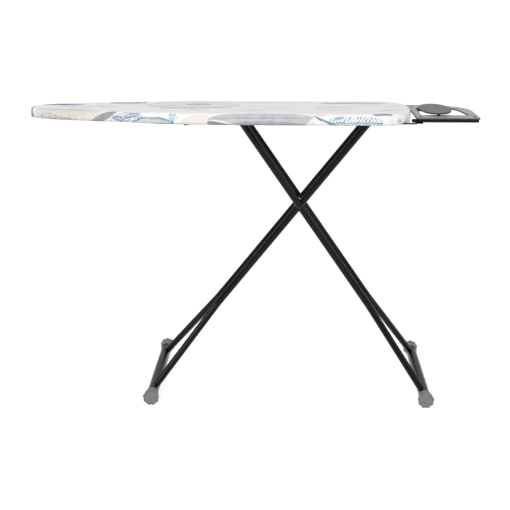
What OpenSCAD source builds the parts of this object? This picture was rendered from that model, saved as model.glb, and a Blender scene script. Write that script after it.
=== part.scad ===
// Folding ironing board with scissor legs, a slotted height channel and an iron rest.
// Millimetres. +X runs from the nose to the iron rest, +Z is up, and the origin is on
// the ground under the middle of the standing board.

/* [Board] */
// Length of the ironing surface
board_len = 1105; // [1095:1:1115]
// Greatest width of the ironing surface
board_w = 300; // [290:1:320]
// Height of the ironing surface above the ground
surface_h = 836.5; // [820:0.5:850]
// Length of the tapering part, measured from the nose
taper_len = 600; // [560:1:640]
// Radius of the two corners at the square end
corner_r = 85; // [70:1:90]
// How far the square end bows out in the middle
end_bow = 5; // [0:0.5:8]
// Depth of the cover's side band
band_h = 28.2; // [26:0.1:30]

/* [Legs] */
// Depth of the top pivots below the ironing surface
pivot_drop = 26; // [26:0.5:28]
// Position of the inner leg's hinge along the board
hinge_x = 351; // [345:1:355]
// Position of the slide rod along the board at the highest setting
rod_x = -31; // [-36:1:-28]
// Position of the inner leg's foot
inner_foot_x = -283; // [-290:1:-278]
// Position of the outer leg's foot
outer_foot_x = 512; // [505:1:518]
// Outside diameter of the leg tubes
tube_d = 20; // [18:0.5:20]
// Wall of the leg tubes
tube_wall = 1.2; // [1:0.1:2]
// Half the distance between the inner leg's tubes
inner_y = 42; // [42:0.5:43]
// Half the distance between the outer leg's tubes
outer_y = 65; // [65:0.5:66]
// Part of each leg that is straight before its tubes splay
straight_part = 0.695; // [0.67:0.005:0.72]
// Angle by which the inner leg's tubes splay
inner_splay = 21.5; // [20:0.5:23]
// Angle by which the outer leg's tubes splay
outer_splay = 22; // [20:0.5:23]

/* [Feet] */
// Outside diameter of the foot tubes
foot_d = 32; // [30:0.5:34]
// Half the overall width of each foot, over its caps
foot_half = 238; // [225:1:250]
// Radius of a cap's flange at the tips of its lobes
cap_r = 24; // [23:0.5:26]
// Number of lobes on a cap's flange
lobes = 9; // [9:1:9]

/* [Iron rest] */
// How far the iron rest reaches past the square end
rest_reach = 181; // [172:1:186]
// Width of the tray across the board
tray_w = 300; // [290:1:304]
// Half the distance between the rest's tubes
rest_y = 122; // [121:0.5:123]
// Diameter of the rest's tubes
rest_d = 10; // [9:0.5:11]

/* [Hidden] */
$fn = 48;

// Clearances: a running fit on a pin, and a gap between neighbouring pieces
fit = 0.1;
gap = 0.3;

// Ends of the whole object, and of the board
nose_x = -(board_len + rest_reach) / 2;
end_x = nose_x + board_len;
rest_end_x = end_x + rest_reach;

// Layers of the board, as depths below the ironing surface
cover_t = 1;
pad_bottom = 6.8;
mesh_bottom = 8;
rib_bottom = 12;
rim_bottom = 27.2;

// Pivots and leg lengths. The legs are similar, so the board stays level as it folds.
rod_d = 10;
bolt_d = 8;
pivot_z = surface_h - pivot_drop;
lobe_depth = 1.1;
function lobe_r(a) = cap_r - lobe_depth + lobe_depth * cos(lobes * (a - 180 / lobes));
foot_z = max([for (a = [0 : 5 : 40]) lobe_r(a) * cos(a)]);
leg_rise = pivot_z - foot_z;
top_span = hinge_x - rod_x;
cross_share = top_span / (top_span + outer_foot_x - inner_foot_x);
cross_x = hinge_x - (hinge_x - inner_foot_x) * cross_share;
cross_z = pivot_z - leg_rise * cross_share;
inner_len = norm([hinge_x - inner_foot_x, leg_rise]);
outer_len = norm([outer_foot_x - rod_x, leg_rise]);
inner_angle = 180 - atan2(leg_rise, hinge_x - inner_foot_x);
outer_angle = atan2(leg_rise, outer_foot_x - rod_x);

tube_bend_r = 70;
tube_top = 8;

// Slide channel under the board
channel_y = 22;
channel_wall = 2;
channel_bottom = 37;
channel_x0 = -302;
channel_x1 = 16;
bush_r = 6.5;
slot_top = pivot_drop - bush_r - 3.1;
slot_bottom = pivot_drop + bush_r + 0.5;
rod_travel = 256;

// Height settings: six teeth, with the lowest as far from the rod's rest as the rack
tooth_count = 6;
tooth_pitch = 20;
tooth_h = 2;
rack_x0 = -126;
rack_x1 = 0;

// Cross ribs along the board, and the crossbar near its square end
rib_w = 24;
rib_xs = [-494, -394, -284, -154, -6, 166, 351];
bar_x = 388;
bar_w = 26;

// Iron rest, as depths below the ironing surface
tray_top = 10.5;
tray_t = 2;
tray_lip = 4.5;
tube_depth = 21.5;
strap_t = 3;
strap_w = 14;
strap_top = 28.4;

// ---------- outline of the board ----------

// Half width of the board at x: a blunt rounded nose that tapers out to the full width.
function nose_half(t) = board_w / 2 * pow(1 - pow(1 - t, 1.35), 0.4);
function half_w(x) =
    let (t = (x - nose_x) / taper_len)
    t <= 0 ? 0 : t < 1 ? nose_half(t) : board_w / 2;

side_y = board_w / 2 - corner_r;
corner_x = end_x - end_bow - corner_r;
nose_steps = 26;
far_side = concat(
    [for (i = [1 : nose_steps])
        let (t = pow(i / nose_steps, 2.2))
        [nose_x + t * taper_len, nose_half(t)]],
    [for (a = [90 : -9 : 0])
        [corner_x + corner_r * cos(a), side_y + corner_r * sin(a)]],
    [for (k = [0.66, 0.33]) [end_x - end_bow * k * k, side_y * k]]
);
near_side = [for (i = [len(far_side) - 1 : -1 : 0]) [far_side[i].x, -far_side[i].y]];
edge = concat([[nose_x, 0]], far_side, [[end_x, 0]], near_side);

// The outline moved inwards by d, square to the edge at each point.
function inset(d) =
    let (n = len(edge))
    [for (i = [0 : n - 1])
        let (a = edge[(i + n - 1) % n])
        let (b = edge[(i + 1) % n])
        let (dir = (b - a) / norm(b - a))
        edge[i] + d * [dir.y, -dir.x]];

// A flat slab of the board's outline between two depths.
module slab(d, top, bottom) {
    translate([0, 0, surface_h - bottom])
    linear_extrude(bottom - top)
    polygon(inset(d));
}

// A wall that follows the outline, from inset a to inset b.
module edge_ring(a, b, top, bottom) {
    translate([0, 0, surface_h - bottom])
    linear_extrude(bottom - top)
    difference() {
        polygon(inset(a));
        polygon(inset(b));
    }
}

// ---------- small shapes ----------

// A cylinder along Y from y0 to y1.
module along_y(r, y0, y1) {
    translate([0, y0, 0])
    rotate([-90, 0, 0])
    cylinder(r = r, h = y1 - y0);
}

// A washer or sleeve along Y.
module sleeve(r, bore, y0, y1) {
    difference() {
        along_y(r, y0, y1);
        along_y(bore, y0 - 1, y1 + 1);
    }
}

// Children at both sides, near and far.
module both_sides() {
    for (side = [0, 1])
        mirror([0, side, 0])
        children();
}

// A block given by its corners, with z as depths below the ironing surface.
module block(x0, x1, y0, y1, top, bottom) {
    translate([x0, y0, surface_h - bottom])
    cube([x1 - x0, y1 - y0, bottom - top]);
}

function rounded(x0, x1, half_y, r) = concat(
    [for (a = [0 : 15 : 90]) [x1 - r + r * cos(a), half_y - r + r * sin(a)]],
    [for (a = [90 : 15 : 180]) [x0 + r + r * cos(a), half_y - r + r * sin(a)]],
    [for (a = [180 : 15 : 270]) [x0 + r + r * cos(a), -half_y + r + r * sin(a)]],
    [for (a = [270 : 15 : 360]) [x1 - r + r * cos(a), -half_y + r + r * sin(a)]]
);

// A flat plate with rounded corners.
module rounded_plate(x0, x1, half_y, r, top, bottom) {
    translate([0, 0, surface_h - bottom])
    linear_extrude(bottom - top)
    polygon(rounded(x0, x1, half_y, r));
}

// Children drawn in a leg's own frame: +X down the leg, with the origin on its top pivot.
module on_inner_leg() {
    translate([hinge_x, 0, pivot_z])
    rotate([0, inner_angle, 0])
    children();
}

module on_outer_leg() {
    translate([rod_x, 0, pivot_z])
    rotate([0, outer_angle, 0])
    children();
}

module at_cross() {
    translate([cross_x, 0, cross_z])
    children();
}

module at_rod() {
    translate([rod_x, 0, pivot_z])
    children();
}

module at_hinge() {
    translate([hinge_x, 0, pivot_z])
    children();
}

// ---------- board ----------

// Printed cotton cover: the top, the side band and the hem turned in under the rim.
module cover() {
    color("ivory") {
        slab(0, 0, cover_t);
        edge_ring(0, cover_t, cover_t, band_h - 0.8);
        edge_ring(0, 20, band_h - 0.8, band_h);
    }
}

// Elastic that runs round in the hem and holds the cover on.
module hem_elastic() {
    color("white")
    edge_ring(14.5, 19, band_h - 3.6, band_h - 0.8);
}

// Foam underlay between the cover and the steel top.
module foam_pad() {
    color("gainsboro")
    slab(cover_t + 0.2, cover_t, pad_bottom);
}

// Sheet-steel top with rows of steam holes.
module mesh_top() {
    pitch = 34;
    row = 29.4;
    hole_r = 9;
    margin = 16;
    color("silver")
    translate([0, 0, surface_h - mesh_bottom])
    linear_extrude(mesh_bottom - pad_bottom)
    difference() {
        polygon(inset(cover_t + 0.4));
        for (j = [-4 : 4])
            for (i = [0 : 32]) {
                x = nose_x + 22 + (i + abs(j) % 2 / 2) * pitch;
                y = j * row;
                room = min(half_w(x - hole_r), half_w(x + hole_r));
                in_corner = x > corner_x && abs(y) > side_y;
                far_out = norm([x - corner_x, abs(y) - side_y]) > corner_r - margin;
                if (abs(y) + margin < room && x < end_x - 24 && !(in_corner && far_out))
                    translate([x, y])
                    circle(r = hole_r);
            }
    }
}

// Sheet-steel edge under the top: an upright wall and a flange turned in at its foot.
module rim() {
    wall = 1.5;
    color("gainsboro") {
        edge_ring(cover_t + 0.4, cover_t + 0.4 + wall, mesh_bottom, rim_bottom);
        edge_ring(cover_t + 0.4 + wall, 13, rim_bottom - 1.3, rim_bottom);
    }
}

// Shallow pressed ribs across the underside of the top, pressed flat again in the two
// lanes where the outer leg's tubes swing.
module cross_ribs() {
    depth = rib_bottom - mesh_bottom;
    wall = 1.2;
    lane_half = tube_d / 2 + 3;
    color("silver")
    difference() {
        for (x = rib_xs) {
            reach = min(half_w(x - rib_w / 2), half_w(x + rib_w / 2)) - 5;
            translate([x, reach, surface_h - mesh_bottom])
            rotate([90, 0, 0])
            linear_extrude(2 * reach)
            polygon([
                [-rib_w / 2, 0], [-rib_w / 2, -wall], [-rib_w / 4 - wall, -wall],
                [-rib_w / 4, -depth], [rib_w / 4, -depth], [rib_w / 4 + wall, -wall],
                [rib_w / 2, -wall], [rib_w / 2, 0]
            ]);
        }
        both_sides()
            block(channel_x0, channel_x1, outer_y - lane_half, outer_y + lane_half,
                  mesh_bottom + wall, rib_bottom + 1);
    }
}

// Deep channel, open upwards, that carries the iron rest's straps.
module end_crossbar() {
    wall = 1.5;
    reach = 126;
    hem_inset = 20;
    color("silver")
    difference() {
        intersection() {
            block(bar_x - bar_w / 2, bar_x + bar_w / 2, -reach, reach, mesh_bottom, band_h);
            slab(hem_inset + 0.5, mesh_bottom, band_h);
        }
        block(bar_x - bar_w / 2 + wall, bar_x + bar_w / 2 - wall, -reach - 1, reach + 1,
              mesh_bottom - 1, band_h - wall);
        both_sides()
            for (dx = [-7, 7])
                translate([bar_x + dx, rest_y, surface_h - band_h - 1])
                cylinder(r = 2.5, h = 4);
    }
}

// Inverted channel under the ribs, with a slot in each wall for the slide rod.
module slide_channel() {
    slot_r = (slot_bottom - slot_top) / 2;
    slot_z = surface_h - (slot_bottom + slot_top) / 2;
    end_room = 1.5;
    x_low = rod_x - rod_travel - bush_r - end_room + slot_r;
    x_high = rod_x + bush_r + end_room - slot_r;
    color("silver")
    difference() {
        block(channel_x0, channel_x1, -channel_y, channel_y, rib_bottom, channel_bottom);
        block(channel_x0 - 1, channel_x1 + 1, channel_wall - channel_y,
              channel_y - channel_wall, rib_bottom + channel_wall, channel_bottom + 1);
        for (x = [x_low, x_high])
            translate([x, 0, slot_z])
            along_y(slot_r, -channel_y - 1, channel_y + 1);
        translate([x_low, -channel_y - 1, slot_z - slot_r])
        cube([x_high - x_low, 2 * channel_y + 2, 2 * slot_r]);
    }
}

// Saw-toothed rack under the channel's top, one tooth for each height.
module height_rack() {
    back = rib_bottom + channel_wall;
    tip = back + tooth_h + 0.4;
    color("darkgray")
    translate([0, 4, surface_h])
    rotate([90, 0, 0])
    linear_extrude(8)
    polygon(concat(
        [[rack_x0, -back], [rack_x0, -(tip - tooth_h)]],
        [for (i = [0 : tooth_count - 1])
            let (x = rack_x0 + 3 + i * tooth_pitch)
            each [[x, -(tip - tooth_h)], [x + 14, -tip], [x + 17, -tip],
                  [x + 17, -(tip - tooth_h)]]],
        [[rack_x1, -(tip - tooth_h)], [rack_x1, -back]]
    ));
}

// L-shaped bracket for the inner leg's axle, on the far side.
module hinge_bracket() {
    cheek_y = 54;
    cheek_t = 3;
    half = 20;
    drop = pivot_drop + 12;
    color("silver")
    difference() {
        union() {
            block(hinge_x - half, hinge_x + half, cheek_y, cheek_y + cheek_t, rib_bottom,
                  pivot_drop);
            block(hinge_x - half, hinge_x + half, cheek_y + cheek_t, cheek_y + 26,
                  rib_bottom, rib_bottom + cheek_t);
            at_hinge()
                along_y(drop - pivot_drop, cheek_y, cheek_y + cheek_t);
            block(hinge_x - 12, hinge_x + 12, cheek_y, cheek_y + cheek_t, pivot_drop - 8,
                  pivot_drop);
        }
        at_hinge()
            along_y(rod_d / 2, cheek_y - 1, cheek_y + cheek_t + 1);
        for (dx = [-8, 8])
            translate([hinge_x + dx, cheek_y + 16, surface_h - rib_bottom - cheek_t - 1])
            cylinder(r = 2.5, h = cheek_t + 2);
    }
}

module hinge_bracket_near() {
    mirror([0, 1, 0])
    hinge_bracket();
}

module hinge_bracket_far() {
    hinge_bracket();
}

// Axle that the inner leg turns on.
module hinge_axle() {
    color("darkgray")
    at_hinge()
        along_y(rod_d / 2, -64, 64);
}

// Push-on clips that keep the axle in its brackets.
module axle_clips() {
    color("silver")
    both_sides()
        at_hinge()
            sleeve(8.5, rod_d / 2, 57, 59.5);
}

// Rivets that hold the brackets on their rib.
module frame_rivets() {
    color("darkgray")
    both_sides()
        for (dx = [-8, 8])
            translate([hinge_x + dx, 70, surface_h - rib_bottom - 3]) {
                cylinder(r = 2.5, h = 3);
                translate([0, 0, -1.6])
                cylinder(r1 = 3.2, r2 = 4.4, h = 1.6);
            }
}

// ---------- iron rest ----------

tray_x0 = end_x + 7;
tray_x1 = rest_end_x - 1;
tray_far_x0 = end_x - 15;
tray_far_r = 130;
tube_x0 = end_x - 4;
near_tube_x1 = rest_end_x - 2;
far_tube_x1 = rest_end_x - 63;
pad_x = end_x + 71.5;
pad_w = 91;
pad_half = 111;
pad_top = 1.5;
pad_t = 4.5;
window_x0 = end_x + 24;
window_x1 = rest_end_x - 19;
window_half = 83;
screw_dx = 27;

// An arc about [x, y], in steps that keep its facets small.
function arc(x, y, r, a0, a1, steps) =
    [for (i = [0 : steps]) let (a = a0 + (a1 - a0) * i / steps) [x + r * cos(a), y + r * sin(a)]];

// The tray's outline, moved inwards by d. Its far end follows the board's rounded corner
// on one side and has a large corner radius on the other.
function tray_outline(d) =
    let (half = tray_w / 2 - d)
    let (x0 = tray_x0 + d)
    let (x1 = tray_x1 - d)
    let (far_x = tray_far_x0 + d)
    concat(
        arc(x1 - 12, 12 - half, 12, 270, 360, 4),
        arc(x1 - tray_far_r, half - tray_far_r, tray_far_r, 0, 90, 10),
        arc(far_x + 8, half - 8, 8, 90, 180, 3),
        [for (t = [0.2 : 0.2 : 1])
            [far_x + (x0 - far_x) * sin(90 * t), half - 12 - t * 105]],
        arc(x0 + 8, 8 - half, 8, 180, 270, 3)
    );

// The opening in the tray: its outer side leans in towards the far end.
function window_outline() = concat(
    arc(window_x1 - 10, 10 - window_half, 10, 270, 350, 4),
    arc(tray_x1 - tray_far_r, tray_w / 2 - tray_far_r, tray_far_r - 32, 12, 50, 6),
    arc(window_x0 + 10, window_half - 10, 10, 90, 180, 4),
    arc(window_x0 + 10, 10 - window_half, 10, 180, 270, 4)
);

// A flat plate of an outline between two depths.
module plate(outline, top, bottom) {
    translate([0, 0, surface_h - bottom])
    linear_extrude(bottom - top)
    polygon(outline);
}

// A straight tube under the tray, on the far side, that ends at x1.
module rest_tube(x1) {
    length = x1 - tube_x0;
    color("black")
    translate([tube_x0, rest_y, surface_h - tube_depth])
    rotate([0, 90, 0])
    difference() {
        cylinder(r = rest_d / 2, h = length);
        translate([0, 0, -1])
        cylinder(r = rest_d / 2 - 1.2, h = length + 2);
    }
}

module rest_tube_near() {
    mirror([0, 1, 0])
    rest_tube(near_tube_x1);
}

module rest_tube_far() {
    rest_tube(far_tube_x1);
}

// Domed plugs in the ends of the rest's tubes.
module rest_tube_plugs() {
    r = rest_d / 2;
    plug_r = r - 1.2;
    ends = [
        [tube_x0, -rest_y, -90], [near_tube_x1, -rest_y, 90],
        [tube_x0, rest_y, -90], [far_tube_x1, rest_y, 90]
    ];
    color("black")
    for (end = ends)
        translate([end.x, end.y, surface_h - tube_depth])
        rotate([0, end.z, 0]) {
            translate([0, 0, -8])
            cylinder(r = plug_r, h = 8);
            rotate_extrude()
            intersection() {
                scale(0.4)
                circle(r = r / 0.4);
                square([r, 2]);
            }
        }
}

// Ring-shaped tray with a lip turned down all round its outside.
module rest_tray() {
    lip_t = 2;
    color("gray")
    difference() {
        union() {
            plate(tray_outline(0), tray_top, tray_top + tray_t);
            difference() {
                plate(tray_outline(0), tray_top + tray_t, tray_top + tray_lip);
                plate(tray_outline(lip_t), tray_top + tray_t - 1, tray_top + tray_lip + 1);
            }
        }
        plate(window_outline(), 0, tray_top + tray_lip + 1);
        at_tray_screws()
            translate([0, 0, -8])
            cylinder(r = 2, h = 12);
    }
}

// Children at each place where a screw goes through the tray into a tube.
module at_tray_screws() {
    for (place = [[tray_x0 + 10, 1], [tray_x1 - 10, 1], [tray_x0 + 10, -1], [tray_x1 - 75, -1]])
        translate([place.x, -place.y * rest_y, surface_h - tray_top])
        children();
}

// Long oval pad that the hot iron stands on.
module rest_pad() {
    color("dimgray")
    difference() {
        rounded_plate(pad_x - pad_w / 2, pad_x + pad_w / 2, pad_half, pad_w / 2 - 0.5,
                      pad_top, pad_top + pad_t);
        at_pad_screws()
            translate([0, 0, -pad_t - 1])
            cylinder(r = 2.2, h = pad_t + 2);
    }
}

module at_pad_screws() {
    for (dx = [-screw_dx, screw_dx])
        translate([pad_x + dx, 0, surface_h - pad_top])
        children();
}

// Bar under the pad, from side to side of the tray, with a cross tie for its screws.
module pad_bridge() {
    top = pad_top + pad_t;
    color("black")
    difference() {
        union() {
            block(pad_x - 3, pad_x + 3, -window_half - 20, window_half + 20, top, tray_top);
            block(pad_x - screw_dx - 8, pad_x + screw_dx + 8, -8, 8, top, top + 2.5);
        }
        at_pad_screws()
            translate([0, 0, -pad_t - 4])
            cylinder(r = 1.6, h = 6);
    }
}

// Screws through the pad into its bridge, and through the tray into the tubes.
module rest_screws() {
    color("black") {
        at_pad_screws()
            translate([0, 0, -pad_t - 2]) {
                cylinder(r = 1.6, h = 3);
                translate([0, 0, 2])
                cylinder(r = 2.2, h = pad_t - 0.6);
            }
        at_tray_screws() {
            cylinder(r = 3.8, h = 1.2);
            translate([0, 0, -tray_t - 4])
            cylinder(r = 2, h = tray_t + 4);
        }
    }
}

// Cranked strap from under the board to a tube of the rest, on the far side.
module rest_strap() {
    low = -strap_top - strap_t;
    high = -tube_depth - rest_d / 2;
    step0 = end_x + 3;
    step1 = end_x + 9;
    tail = step1 + 16;
    color("black")
    difference() {
        translate([0, rest_y + strap_w / 2, surface_h])
        rotate([90, 0, 0])
        linear_extrude(strap_w)
        polygon([
            [bar_x - 14, low], [step0, low], [step1, high - strap_t], [tail, high - strap_t],
            [tail, high], [step1 - 1, high], [step0 - 1, low + strap_t],
            [bar_x - 14, low + strap_t]
        ]);
        for (dx = [-7, 7])
            translate([bar_x + dx, rest_y, surface_h + low - 1])
            cylinder(r = 2.5, h = strap_t + 2);
    }
}

module rest_strap_near() {
    mirror([0, 1, 0])
    rest_strap();
}

module rest_strap_far() {
    rest_strap();
}

// Screws that hold the straps under the crossbar.
module strap_screws() {
    head = surface_h - strap_top - strap_t;
    color("silver")
    both_sides()
        for (dx = [-7, 7])
            translate([bar_x + dx, rest_y, head]) {
                cylinder(r = 2.5, h = strap_t + 6);
                translate([0, 0, -2.4])
                cylinder(r = 4.2, h = 2.4);
            }
}

// ---------- leg parts shared by both legs ----------

// A rod of radius r that is straight up to a bend, turns by an angle, and goes on. The
// bender's grips leave a slight swell at each end of the bend.
module bent_rod(start, bend, turn, lower, r) {
    swell = 0.15;
    swell_len = 6;
    translate([start, 0, 0])
    rotate([0, 90, 0])
    cylinder(r = r, h = bend - start);
    translate([bend - swell_len / 2, 0, 0])
    rotate([0, 90, 0])
    cylinder(r = r + swell, h = swell_len);
    translate([bend, tube_bend_r, 0]) {
        rotate([0, 0, -90])
        rotate_extrude(angle = turn)
        translate([tube_bend_r, 0])
        circle(r = r);
        rotate([0, 0, turn])
        translate([0, -tube_bend_r, 0])
        rotate([0, 90, 0]) {
            cylinder(r = r, h = lower);
            translate([0, 0, -swell_len / 2])
            cylinder(r = r + swell, h = swell_len);
        }
    }
}

// One tube of a leg, in the leg's frame, on the far side. It is coped onto the foot tube
// and drilled for its top pivot and for the crossing bolt.
module leg_tube(leg_len, y_top, splay, cross_s) {
    bend = round(leg_len * straight_part);
    lower = (leg_len - bend - tube_bend_r * sin(splay)) / cos(splay);
    color("black")
    difference() {
        translate([0, y_top, 0])
        bent_rod(-tube_top, bend, splay, lower, tube_d / 2);
        translate([0, y_top, 0])
        bent_rod(-tube_top - 1, bend, splay, lower + 1, tube_d / 2 - tube_wall);
        along_y(rod_d / 2 + fit, y_top - tube_d, y_top + tube_d);
        translate([cross_s, 0, 0])
        along_y(bolt_d / 2 + fit, y_top - tube_d, y_top + tube_d);
        translate([leg_len, 0, 0])
        along_y(foot_d / 2, y_top, foot_half);
    }
}

// Foot tube of a leg, in world place.
module foot_tube(x) {
    color("black")
    translate([x, 0, foot_z])
    sleeve(foot_d / 2, foot_d / 2 - 1.5, 9 - foot_half, foot_half - 9);
}

// Moulded end cap on the far side: a sleeve, a bell and a lobed flange.
module foot_cap(x) {
    sleeve_r = foot_d / 2 + 2;
    flange_t = 6;
    bell_r = cap_r - 2 * lobe_depth - 0.8;
    inner = foot_half - 38;
    bell = foot_half - 18;
    color("gray")
    translate([x, 0, foot_z])
    difference() {
        union() {
            along_y(sleeve_r, inner, bell);
            translate([0, bell, 0])
            rotate([-90, 0, 0])
            cylinder(r1 = sleeve_r, r2 = bell_r, h = 14);
            translate([0, foot_half - flange_t, 0])
            rotate([-90, 0, 0])
            linear_extrude(flange_t - 1)
            polygon([for (a = [0 : 5 : 355]) lobe_r(a) * [sin(a), cos(a)]]);
            along_y(cap_r - 5, foot_half - 1, foot_half);
        }
        along_y(foot_d / 2 + 0.05, inner - 1, foot_half - 9);
    }
}

// ---------- inner leg ----------

module inner_tube() {
    on_inner_leg()
    leg_tube(inner_len, inner_y, inner_splay, inner_len * cross_share);
}

module inner_tube_near() {
    mirror([0, 1, 0])
    inner_tube();
}

module inner_tube_far() {
    inner_tube();
}

module inner_foot_tube() {
    foot_tube(inner_foot_x);
}

module inner_cap_near() {
    mirror([0, 1, 0])
    foot_cap(inner_foot_x);
}

module inner_cap_far() {
    foot_cap(inner_foot_x);
}

// Sleeve on the hinge axle that keeps the inner leg's tubes apart.
module hinge_spacer() {
    reach = inner_y - tube_d / 2;
    color("dimgray")
    at_hinge()
        sleeve(7.5, rod_d / 2 + fit, -reach, reach);
}

// ---------- outer leg ----------

module outer_tube() {
    on_outer_leg()
    leg_tube(outer_len, outer_y, outer_splay, outer_len * cross_share);
}

module outer_tube_near() {
    mirror([0, 1, 0])
    outer_tube();
}

module outer_tube_far() {
    outer_tube();
}

module outer_foot_tube() {
    foot_tube(outer_foot_x);
}

module outer_cap_near() {
    mirror([0, 1, 0])
    foot_cap(outer_foot_x);
}

module outer_cap_far() {
    foot_cap(outer_foot_x);
}

bolt_in = inner_y - tube_d / 2 - 9;
bolt_out = outer_y + tube_d / 2;

// Bolts that join the legs where they cross, one on each side.
module cross_bolts() {
    head_h = 4;
    color("black")
    both_sides()
        at_cross() {
            along_y(bolt_d / 2, bolt_in, bolt_out);
            translate([0, bolt_out + 0.2, 0])
            rotate([-90, 0, 0])
            cylinder(r1 = 7.5, r2 = 5.5, h = head_h);
            along_y(bolt_d / 2, bolt_out, bolt_out + 0.2);
        }
}

// Plastic washers between the crossing tubes.
module cross_washers() {
    color("dimgray")
    both_sides()
        at_cross()
            sleeve(9, bolt_d / 2, inner_y + tube_d / 2 + gap, outer_y - tube_d / 2 - gap);
}

// Lock nuts inside the inner leg's tubes.
module cross_nuts() {
    color("silver")
    both_sides()
        at_cross()
            difference() {
                translate([0, bolt_in + 1, 0])
                rotate([-90, 0, 0])
                cylinder(r = 7.5, h = 7.5, $fn = 6);
                along_y(bolt_d / 2, bolt_in, bolt_in + 12);
            }
}

// ---------- slide carriage ----------

// Rod that the outer leg hangs on, which slides in the channel's slots.
module slide_rod() {
    color("darkgray")
    at_rod()
        along_y(rod_d / 2, -78, 78);
}

// Nylon bushes that run in the channel's slots, each with a flange outside the wall.
module glide_bushes() {
    color("white")
    both_sides()
        at_rod() {
            sleeve(bush_r, rod_d / 2, channel_y - channel_wall - 4, channel_y + gap);
            sleeve(bush_r + 3, rod_d / 2, channel_y + gap, channel_y + gap + 2.5);
        }
}

// Sleeves between the bushes and the outer leg's tubes.
module rod_spacers() {
    color("dimgray")
    both_sides()
        at_rod()
            sleeve(7, rod_d / 2, channel_y + gap + 2.5, outer_y - tube_d / 2 - gap);
}

// Push-on caps on the rod's ends.
module rod_caps() {
    color("black")
    both_sides()
        at_rod()
            difference() {
                along_y(8, outer_y + tube_d / 2 + gap, 80);
                along_y(rod_d / 2, outer_y, 78);
            }
}

// Torsion spring beside the lever: separate turns of wire round the rod.
module lever_spring() {
    wire_r = 0.8;
    color("silver")
    at_rod()
        for (i = [0 : 4])
            translate([0, 4 + i * 1.8, 0])
            rotate([90, 0, 0])
            rotate_extrude()
            translate([rod_d / 2 + wire_r + 0.2, 0])
            circle(r = wire_r);
}

// ---------- height lever ----------

lever_t = 4;
grip_dx = -143;
grip_drop = 20;
lever_angle = atan2(grip_drop, -grip_dx);
lever_len = norm([grip_dx, grip_drop]);
grip_len = 52;

// Flat lever on the rod: an arm towards the nose and a pawl under the rack.
module release_lever() {
    boss_r = 7;
    color("dimgray")
    at_rod()
    difference() {
        union() {
            along_y(boss_r, -lever_t / 2, lever_t / 2);
            rotate([0, -lever_angle, 0])
            translate([-lever_len + grip_len / 2, -lever_t / 2, -5])
            cube([lever_len - grip_len / 2, lever_t, 10]);
            translate([0, lever_t / 2, 0])
            rotate([90, 0, 0])
            linear_extrude(lever_t)
            polygon([[0, -6], [17, -3], [17, 4.9], [13, 4.9], [11, 1], [0, 4]]);
        }
        along_y(rod_d / 2 + fit, -lever_t, lever_t);
    }
}

// Rounded grip on the lever's end.
module lever_grip() {
    r = 6;
    color("black")
    at_rod()
    rotate([0, -lever_angle, 0])
    translate([-lever_len, 0, 0])
    rotate([0, 90, 0])
    difference() {
        union() {
            translate([0, 0, -grip_len / 2 + r])
            cylinder(r = r, h = grip_len - 2 * r);
            translate([0, 0, grip_len / 2 - r])
            cylinder(r1 = r, r2 = r - 2, h = r);
            translate([0, 0, -grip_len / 2 + r])
            sphere(r = r);
        }
        translate([-5, -lever_t / 2, grip_len / 2 - 0.1])
        cube([10, lever_t, 10]);
    }
}

cover();
hem_elastic();
foam_pad();
mesh_top();
rim();
cross_ribs();
end_crossbar();
slide_channel();
height_rack();
hinge_bracket_near();
hinge_bracket_far();
hinge_axle();
axle_clips();
frame_rivets();
rest_tube_near();
rest_tube_far();
rest_tube_plugs();
rest_tray();
rest_pad();
pad_bridge();
rest_screws();
rest_strap_near();
rest_strap_far();
strap_screws();
inner_tube_near();
inner_tube_far();
inner_foot_tube();
inner_cap_near();
inner_cap_far();
hinge_spacer();
outer_tube_near();
outer_tube_far();
outer_foot_tube();
outer_cap_near();
outer_cap_far();
cross_bolts();
cross_washers();
cross_nuts();
slide_rod();
rod_spacers();
glide_bushes();
rod_caps();
lever_spring();
release_lever();
lever_grip();
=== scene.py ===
"""An ironing board on crossed legs: its cotton cover, caps, pad and finishes, in metres."""
import math

import bmesh
import bpy
import numpy as np
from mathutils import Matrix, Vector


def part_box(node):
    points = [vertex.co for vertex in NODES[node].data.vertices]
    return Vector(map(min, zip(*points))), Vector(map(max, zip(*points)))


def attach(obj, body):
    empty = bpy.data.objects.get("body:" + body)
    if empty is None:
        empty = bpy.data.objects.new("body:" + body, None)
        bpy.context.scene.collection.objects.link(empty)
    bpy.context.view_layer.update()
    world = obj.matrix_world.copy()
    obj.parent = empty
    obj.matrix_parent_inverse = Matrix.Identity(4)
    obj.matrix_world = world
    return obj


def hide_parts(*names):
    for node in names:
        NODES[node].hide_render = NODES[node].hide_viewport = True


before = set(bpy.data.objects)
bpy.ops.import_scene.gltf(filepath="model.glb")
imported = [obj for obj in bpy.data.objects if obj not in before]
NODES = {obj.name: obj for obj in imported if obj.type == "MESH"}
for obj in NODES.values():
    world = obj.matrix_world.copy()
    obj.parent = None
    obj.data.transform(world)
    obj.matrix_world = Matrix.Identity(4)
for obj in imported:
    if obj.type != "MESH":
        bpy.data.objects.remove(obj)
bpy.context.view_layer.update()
MM = 0.001
TURN = 2 * math.pi
SAME_PLACE = 1e-5


# ---------- camera, floor and light ----------

def make_camera():
    data = bpy.data.cameras.new("camera")
    data.sensor_width = 36
    data.lens = 81.2
    data.clip_end = 200
    camera = bpy.data.objects.new("camera", data)
    camera.location = (0.116, -3.353, 1.2525)
    camera.rotation_euler = (math.radians(90 - 14.4), 0, math.radians(1.78))
    bpy.context.scene.collection.objects.link(camera)
    bpy.context.scene.camera = camera


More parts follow.
